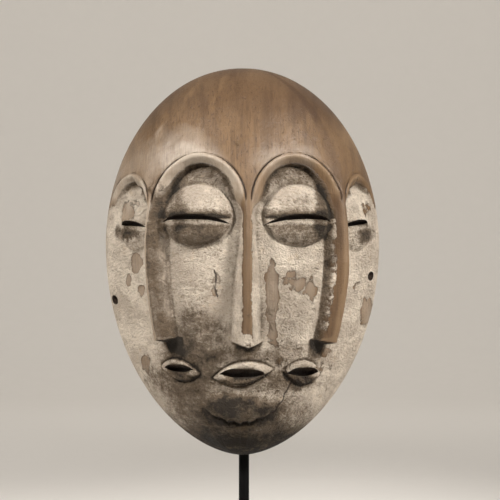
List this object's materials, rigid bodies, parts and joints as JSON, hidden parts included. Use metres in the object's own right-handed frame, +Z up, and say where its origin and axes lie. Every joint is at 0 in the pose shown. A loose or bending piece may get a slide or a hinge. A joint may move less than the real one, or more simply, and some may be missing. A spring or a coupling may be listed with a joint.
{
  "type": "carved wooden mask on display stand",
  "caption": "Hollow oval carved wood mask with merged stylised faces, limed face planes and bare brown brow, held upright by a bent black steel rod on a flat foot plate.",
  "frame": {"origin": "centre of the underside of the stand's foot plate", "axes": "+Z up, the faces look towards -Y, +X towards the right side as the faces are seen from the front"},
  "size_m": [0.212, 0.1261, 0.385],
  "materials": {
    "wood": "worn white pigment over dry brown wood",
    "rod_steel": "satin black",
    "base_steel": "satin black"
  },
  "bodies": {
    "root": {"mask": "wood", "stand_rod": "rod_steel", "stand_base": "base_steel"}
  },
  "joints": []
}
